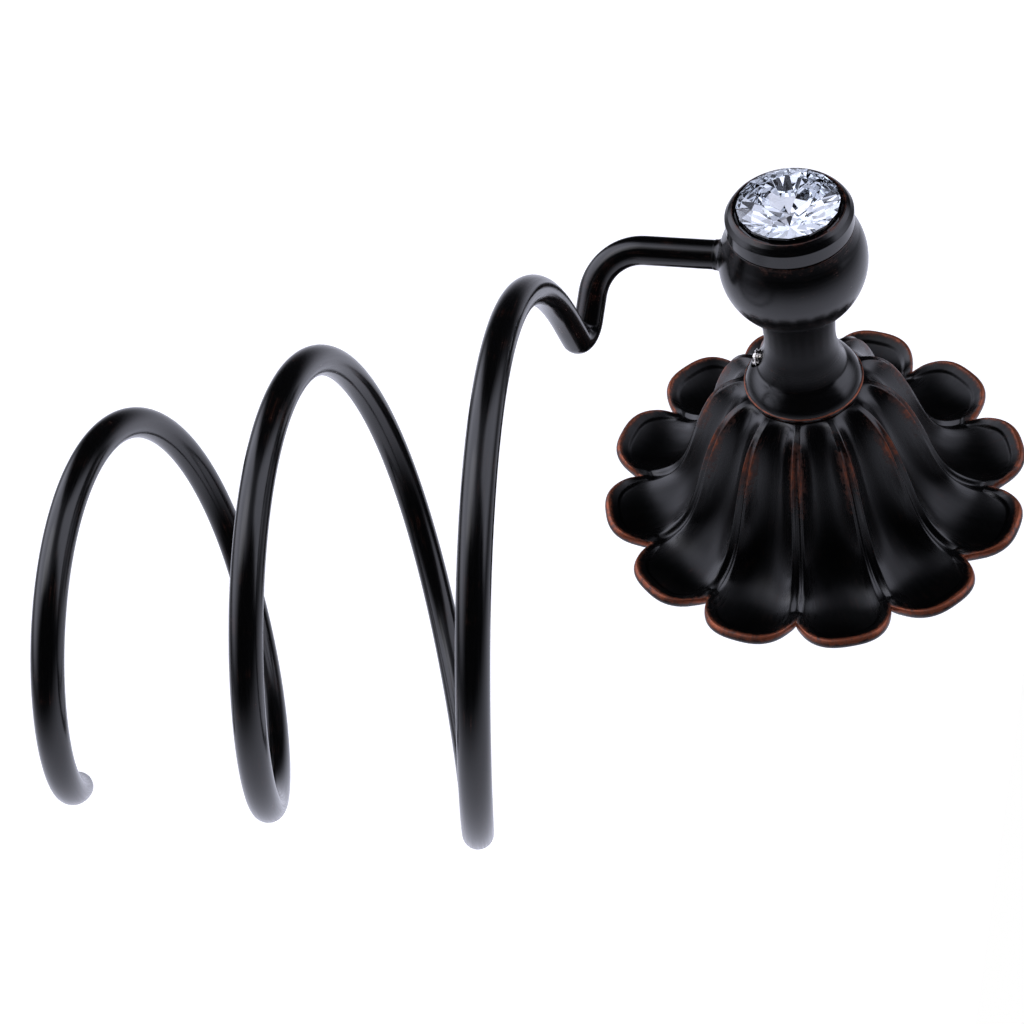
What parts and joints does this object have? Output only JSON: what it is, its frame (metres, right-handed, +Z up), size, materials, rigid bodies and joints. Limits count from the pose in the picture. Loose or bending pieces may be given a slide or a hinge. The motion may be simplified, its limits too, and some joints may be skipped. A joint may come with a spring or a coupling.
{
  "type": "hair dryer holder",
  "caption": "Wall-mounted dark bronze holder whose bent rod winds into an open tapering coil for a hair dryer, on a petalled rosette with a ball and a crystal cap.",
  "frame": {"origin": "centre of the back face of the wall plate, on the wall's surface", "axes": "+Z up, -Y straight out of the wall along the post, +X towards the side that the coil hangs on"},
  "size_m": [0.1733, 0.1058, 0.1687],
  "materials": {
    "bronze": "satin oil-rubbed bronze with copper-brown wear on its edges",
    "steel": "turned",
    "zinc": "zinc plated",
    "seal": "matte",
    "crystal": "polished clear glass",
    "foil": "silvered"
  },
  "bodies": {
    "wall_mount": {"wall_plate": "zinc", "plate_stud": "steel", "pillar_washer": "steel", "wall_pillar": "steel"},
    "rosette_body": {"rosette": "bronze"},
    "post_body": {"post": "bronze", "ball": "bronze", "ball_bolt": "steel", "ball_washer": "steel"},
    "set_screw_body": {"set_screw": "steel"},
    "arm_body": {"spiral_arm": "bronze"},
    "lock_screw_body": {"arm_lock_screw": "steel"},
    "seal_body": {"cap_seal": "seal"},
    "cap_body": {"cap_ring": "bronze", "crystal": "crystal", "crystal_foil": "foil"}
  },
  "joints": [
    {"name": "lift_off", "type": "slide", "parent": "wall_mount", "child": "rosette_body", "axis": [0, -1, 0], "range_m": [0, 0.05]},
    {"name": "holder_swivel", "type": "hinge", "parent": "rosette_body", "child": "post_body", "pos_m": [0, -0.0353, 0], "axis": [0, -1, 0], "continuous": true},
    {"name": "set_screw_travel", "type": "slide", "parent": "post_body", "child": "set_screw_body", "axis": [0, 0, -1], "range_m": [0, 0.004]},
    {"name": "arm_swivel", "type": "hinge", "parent": "post_body", "child": "arm_body", "pos_m": [0, -0.0695, 0], "axis": [0, 0, -1], "range_deg": [0, 200]},
    {"name": "arm_lock_travel", "type": "slide", "parent": "post_body", "child": "lock_screw_body", "axis": [0, -1, 0], "range_m": [0, 0.0015]},
    {"name": "cap_lift", "type": "slide", "parent": "post_body", "child": "seal_body", "axis": [0, -1, 0], "range_m": [0, 0.003]},
    {"name": "cap_turn", "type": "hinge", "parent": "seal_body", "child": "cap_body", "pos_m": [0, -0.0787, 0], "axis": [0, -1, 0], "range_deg": [0, 1080]}
  ],
  "couplings": [
    {"joint": "cap_lift", "follows": "cap_turn", "m_per_rad": 0.00015915}
  ]
}
